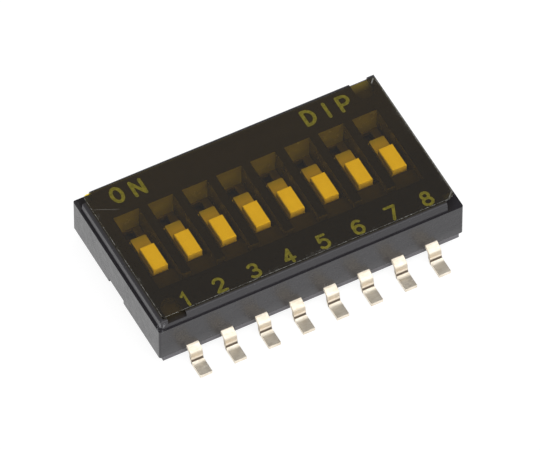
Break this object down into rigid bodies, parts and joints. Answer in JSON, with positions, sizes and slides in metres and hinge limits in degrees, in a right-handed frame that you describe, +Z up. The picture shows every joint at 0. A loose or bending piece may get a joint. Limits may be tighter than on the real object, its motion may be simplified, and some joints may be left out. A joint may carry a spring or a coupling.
{
  "type": "dip switch",
  "caption": "Low black surface-mount slide switch array: sliders recessed in windows under an amber seal film, gull-wing leads along both long sides.",
  "frame": {"origin": "centre of the bounding box in plan, on the plane of the solder feet's undersides", "axes": "+X along the row from position 1 to position 8, +Y towards the ON side, +Z up from the board"},
  "size_m": [0.0114, 0.0082, 0.0022],
  "materials": {
    "cover_moulding": "black glass-filled moulding, polished, with a light orange peel",
    "base_moulding": "black glass-filled moulding, satin",
    "seal_film": "clear amber heat-resistant tape, glossy",
    "slider_plastic": "cream heat-resistant moulding, satin",
    "contact_metal": "gold-plated copper alloy strip",
    "terminal_plate": "tin-plated copper alloy strip, satin"
  },
  "bodies": {
    "housing": {"cover": "cover_moulding", "base": "base_moulding", "seal_film": "seal_film", "terminal_front_1": "terminal_plate", "terminal_front_2": "terminal_plate", "terminal_front_3": "terminal_plate", "terminal_front_4": "terminal_plate", "terminal_front_5": "terminal_plate", "terminal_front_6": "terminal_plate", "terminal_front_7": "terminal_plate", "terminal_front_8": "terminal_plate", "terminal_rear_1": "terminal_plate", "terminal_rear_2": "terminal_plate", "terminal_rear_3": "terminal_plate", "terminal_rear_4": "terminal_plate", "terminal_rear_5": "terminal_plate", "terminal_rear_6": "terminal_plate", "terminal_rear_7": "terminal_plate", "terminal_rear_8": "terminal_plate"},
    "switch_1": {"slider_1": "slider_plastic", "moving_contact_1": "contact_metal"},
    "switch_2": {"slider_2": "slider_plastic", "moving_contact_2": "contact_metal"},
    "switch_3": {"slider_3": "slider_plastic", "moving_contact_3": "contact_metal"},
    "switch_4": {"slider_4": "slider_plastic", "moving_contact_4": "contact_metal"},
    "switch_5": {"slider_5": "slider_plastic", "moving_contact_5": "contact_metal"},
    "switch_6": {"slider_6": "slider_plastic", "moving_contact_6": "contact_metal"},
    "switch_7": {"slider_7": "slider_plastic", "moving_contact_7": "contact_metal"},
    "switch_8": {"slider_8": "slider_plastic", "moving_contact_8": "contact_metal"}
  },
  "joints": [
    {"name": "slider_1_travel", "type": "slide", "parent": "housing", "child": "switch_1", "axis": [0, 1, 0], "range_m": [0, 0.00075]},
    {"name": "slider_2_travel", "type": "slide", "parent": "housing", "child": "switch_2", "axis": [0, 1, 0], "range_m": [0, 0.00075]},
    {"name": "slider_3_travel", "type": "slide", "parent": "housing", "child": "switch_3", "axis": [0, 1, 0], "range_m": [0, 0.00075]},
    {"name": "slider_4_travel", "type": "slide", "parent": "housing", "child": "switch_4", "axis": [0, 1, 0], "range_m": [0, 0.00075]},
    {"name": "slider_5_travel", "type": "slide", "parent": "housing", "child": "switch_5", "axis": [0, 1, 0], "range_m": [0, 0.00075]},
    {"name": "slider_6_travel", "type": "slide", "parent": "housing", "child": "switch_6", "axis": [0, 1, 0], "range_m": [0, 0.00075]},
    {"name": "slider_7_travel", "type": "slide", "parent": "housing", "child": "switch_7", "axis": [0, 1, 0], "range_m": [0, 0.00075]},
    {"name": "slider_8_travel", "type": "slide", "parent": "housing", "child": "switch_8", "axis": [0, 1, 0], "range_m": [0, 0.00075]}
  ]
}
